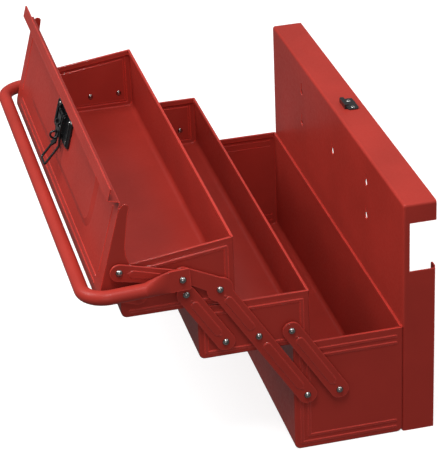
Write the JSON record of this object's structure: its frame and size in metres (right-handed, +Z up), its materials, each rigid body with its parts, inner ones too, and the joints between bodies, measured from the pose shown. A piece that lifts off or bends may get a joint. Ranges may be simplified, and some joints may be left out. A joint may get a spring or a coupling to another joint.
{
  "type": "cantilever toolbox",
  "caption": "Wall-hung steel toolbox with a deep base, a tall back panel and two trays that swing forward on riveted arms, with a lid, a tube handle and a draw latch.",
  "frame": {"origin": "centre of the underside of the base box", "axes": "+X along the length, +Y towards the back panel, +Z up; drawn with the trays swung out"},
  "size_m": [0.6912, 0.4738, 0.4271],
  "materials": {
    "red_paint": "semi-gloss powder coat over pressed steel sheet",
    "rivet_steel": "bright plated, polished domes",
    "black_coat": "gloss black e-coat"
  },
  "bodies": {
    "base": {"base_box": "red_paint", "back_panel": "red_paint", "catch": "black_coat", "catch_rivets": "rivet_steel", "base_pivot_rivets": "rivet_steel", "base_pivot_washers": "rivet_steel"},
    "long_arms": {"long_arm_right": "red_paint", "long_arm_left": "red_paint", "handle_rivets": "rivet_steel"},
    "lower_arms": {"lower_arm_right": "red_paint", "lower_arm_left": "red_paint"},
    "middle_tray": {"middle_tray": "red_paint", "middle_tray_rivets": "rivet_steel", "middle_tray_washers": "rivet_steel"},
    "upper_arms": {"upper_arm_right": "red_paint", "upper_arm_left": "red_paint"},
    "top_tray": {"top_tray": "red_paint", "top_tray_rivets": "rivet_steel", "top_tray_washers": "rivet_steel", "lid_pivot_rivets": "rivet_steel"},
    "lid": {"lid": "red_paint", "link_rivets": "rivet_steel", "link_spacers": "rivet_steel", "latch_base": "black_coat", "latch_rivets": "rivet_steel", "latch_pin": "black_coat", "latch_staple": "black_coat"},
    "lid_links": {"lid_link_right": "red_paint", "lid_link_left": "red_paint"},
    "handle": {"handle": "red_paint"},
    "latch_lever": {"latch_lever": "black_coat"},
    "latch_bail": {"latch_bail": "black_coat"}
  },
  "joints": [
    {"name": "arms_swing", "type": "hinge", "parent": "base", "child": "long_arms", "pos_m": [0, -0.0582, 0.0871], "axis": [-1, 0, 0], "range_deg": [0, 64]},
    {"name": "lower_arms_swing", "type": "hinge", "parent": "base", "child": "lower_arms", "pos_m": [0, -0.0142, 0.0871], "axis": [-1, 0, 0], "range_deg": [0, 64]},
    {"name": "middle_tray_level", "type": "hinge", "parent": "long_arms", "child": "middle_tray", "pos_m": [0, -0.12152, 0.18844], "axis": [-1, 0, 0], "range_deg": [-64, 0]},
    {"name": "top_tray_level", "type": "hinge", "parent": "long_arms", "child": "top_tray", "pos_m": [0, -0.17007, 0.26612], "axis": [-1, 0, 0], "range_deg": [-64, 0]},
    {"name": "upper_arms_swing", "type": "hinge", "parent": "middle_tray", "child": "upper_arms", "pos_m": [0, -0.16553, 0.18844], "axis": [-1, 0, 0], "range_deg": [0, 64]},
    {"name": "lid_swing", "type": "hinge", "parent": "top_tray", "child": "lid", "pos_m": [0, -0.27503, 0.2739], "axis": [-1, 0, 0], "range_deg": [0, 68.8]},
    {"name": "lid_link_swing", "type": "hinge", "parent": "lid", "child": "lid_links", "pos_m": [0, -0.2983, 0.31362], "axis": [-1, 0, 0], "range_deg": [-92.1, 0]},
    {"name": "handle_swing", "type": "hinge", "parent": "long_arms", "child": "handle", "pos_m": [0, -0.21981, 0.29419], "axis": [-1, 0, 0], "range_deg": [0, 12]},
    {"name": "latch_lever_turn", "type": "hinge", "parent": "lid", "child": "latch_lever", "pos_m": [0, -0.30572, 0.39208], "axis": [-1, 0, 0], "range_deg": [0, 75]},
    {"name": "latch_bail_turn", "type": "hinge", "parent": "latch_lever", "child": "latch_bail", "pos_m": [0, -0.31139, 0.37808], "axis": [-1, 0, 0], "range_deg": [0, 100]}
  ],
  "couplings": [
    {"joint": "lower_arms_swing", "follows": "arms_swing", "ratio": 1},
    {"joint": "middle_tray_level", "follows": "arms_swing", "ratio": -1},
    {"joint": "top_tray_level", "follows": "arms_swing", "ratio": -1},
    {"joint": "upper_arms_swing", "follows": "arms_swing", "ratio": 1},
    {"joint": "lid_swing", "follows": "arms_swing", "ratio": 1.075},
    {"joint": "lid_link_swing", "follows": "arms_swing", "ratio": -1.4388}
  ]
}
